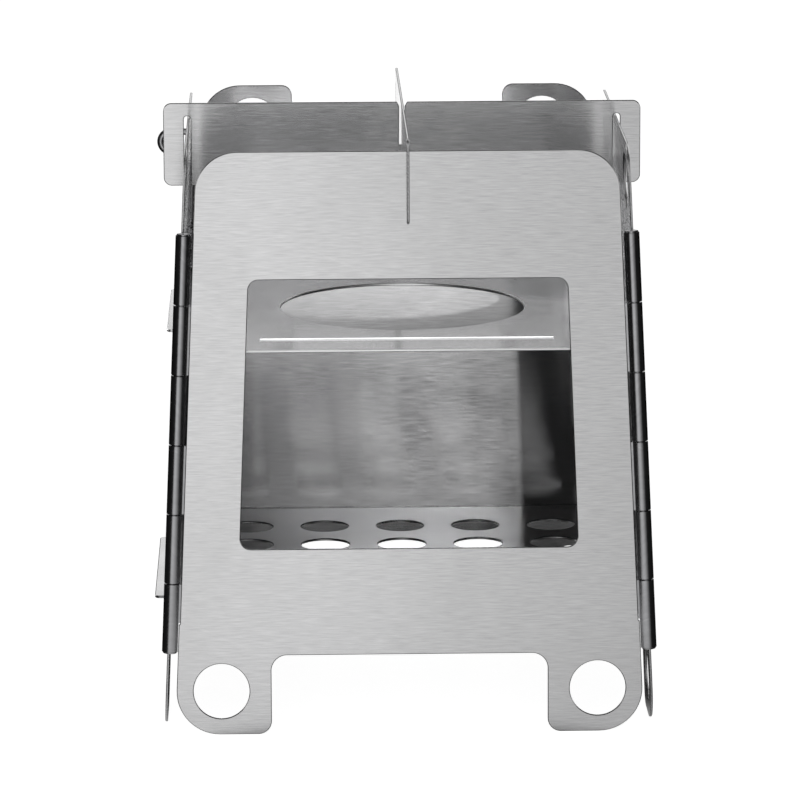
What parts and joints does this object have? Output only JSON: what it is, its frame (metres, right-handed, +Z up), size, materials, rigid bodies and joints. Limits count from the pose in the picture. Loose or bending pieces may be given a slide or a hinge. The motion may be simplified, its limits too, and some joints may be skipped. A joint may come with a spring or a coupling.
{
  "type": "folding camping stove",
  "caption": "Folding camping wood stove: four hinged brushed sheet walls, a fire window, crossed pot supports, a burner plate and an air-holed fire grate.",
  "frame": {"origin": "on the floor, midway between the four leaning hinges", "axes": "+Z up, the window faces -Y, +X to the right of someone facing the window"},
  "size_m": [0.1505, 0.1476, 0.1794],
  "materials": {
    "brushed_sheet": "horizontally brushed titanium sheet, satin",
    "rolled_knuckles": "smooth polished rolled sheet",
    "pin_steel": "bright drawn wire"
  },
  "bodies": {
    "front_wall": {"front_panel": "brushed_sheet", "front_knuckles_left": "rolled_knuckles", "front_knuckles_right": "rolled_knuckles", "pin_front_left": "pin_steel", "pin_front_right": "pin_steel"},
    "left_wall": {"left_panel": "brushed_sheet", "left_knuckles_rear": "rolled_knuckles", "left_knuckles_front": "rolled_knuckles"},
    "right_wall": {"right_panel": "brushed_sheet", "right_knuckles_front": "rolled_knuckles", "right_knuckles_rear": "rolled_knuckles", "pin_rear_right": "pin_steel"},
    "rear_wall": {"rear_panel": "brushed_sheet", "rear_knuckles_right": "rolled_knuckles", "rear_knuckles_left": "rolled_knuckles"},
    "hinge_pin": {"removable_pin": "pin_steel", "pull_loop": "pin_steel"},
    "support_across": {"support_across": "brushed_sheet"},
    "support_lengthwise": {"support_lengthwise": "brushed_sheet"},
    "burner_plate": {"burner_plate": "brushed_sheet"},
    "fire_grate": {"fire_grate": "brushed_sheet"}
  },
  "joints": [
    {"name": "support_across_lift", "type": "slide", "parent": "front_wall", "child": "support_across", "axis": [0, 0, 1], "range_m": [0, 0.06]},
    {"name": "support_lengthwise_lift", "type": "slide", "parent": "support_across", "child": "support_lengthwise", "axis": [0, 0, 1], "range_m": [0, 0.06]},
    {"name": "hinge_pin_pull", "type": "slide", "parent": "left_wall", "child": "hinge_pin", "axis": [0.0444, -0.0444, 0.998], "range_m": [0, 0.13]},
    {"name": "left_wall_hinge", "type": "hinge", "parent": "front_wall", "child": "left_wall", "pos_m": [-0.0726, -0.0726, 0], "axis": [0.0444, 0.0444, 0.998], "range_deg": [-88, 235]},
    {"name": "right_wall_hinge", "type": "hinge", "parent": "front_wall", "child": "right_wall", "pos_m": [0.0726, -0.0726, 0], "axis": [0.0444, -0.0444, -0.998], "range_deg": [-88, 235]},
    {"name": "rear_wall_hinge", "type": "hinge", "parent": "right_wall", "child": "rear_wall", "pos_m": [0.0726, 0.0726, 0], "axis": [0.0444, 0.0444, -0.998], "range_deg": [-88, 235]},
    {"name": "burner_plate_out", "type": "slide", "parent": "front_wall", "child": "burner_plate", "axis": [-1, 0, 0], "range_m": [0, 0.16]},
    {"name": "fire_grate_out", "type": "slide", "parent": "front_wall", "child": "fire_grate", "axis": [-1, 0, 0], "range_m": [0, 0.16]}
  ],
  "couplings": [
    {"joint": "left_wall_hinge", "follows": "hinge_pin_pull", "rad_per_m": 0.0005},
    {"joint": "right_wall_hinge", "follows": "hinge_pin_pull", "rad_per_m": 0.0005},
    {"joint": "rear_wall_hinge", "follows": "hinge_pin_pull", "rad_per_m": 0.0005},
    {"joint": "burner_plate_out", "follows": "hinge_pin_pull", "ratio": 0.0005},
    {"joint": "fire_grate_out", "follows": "hinge_pin_pull", "ratio": 0.0005}
  ]
}
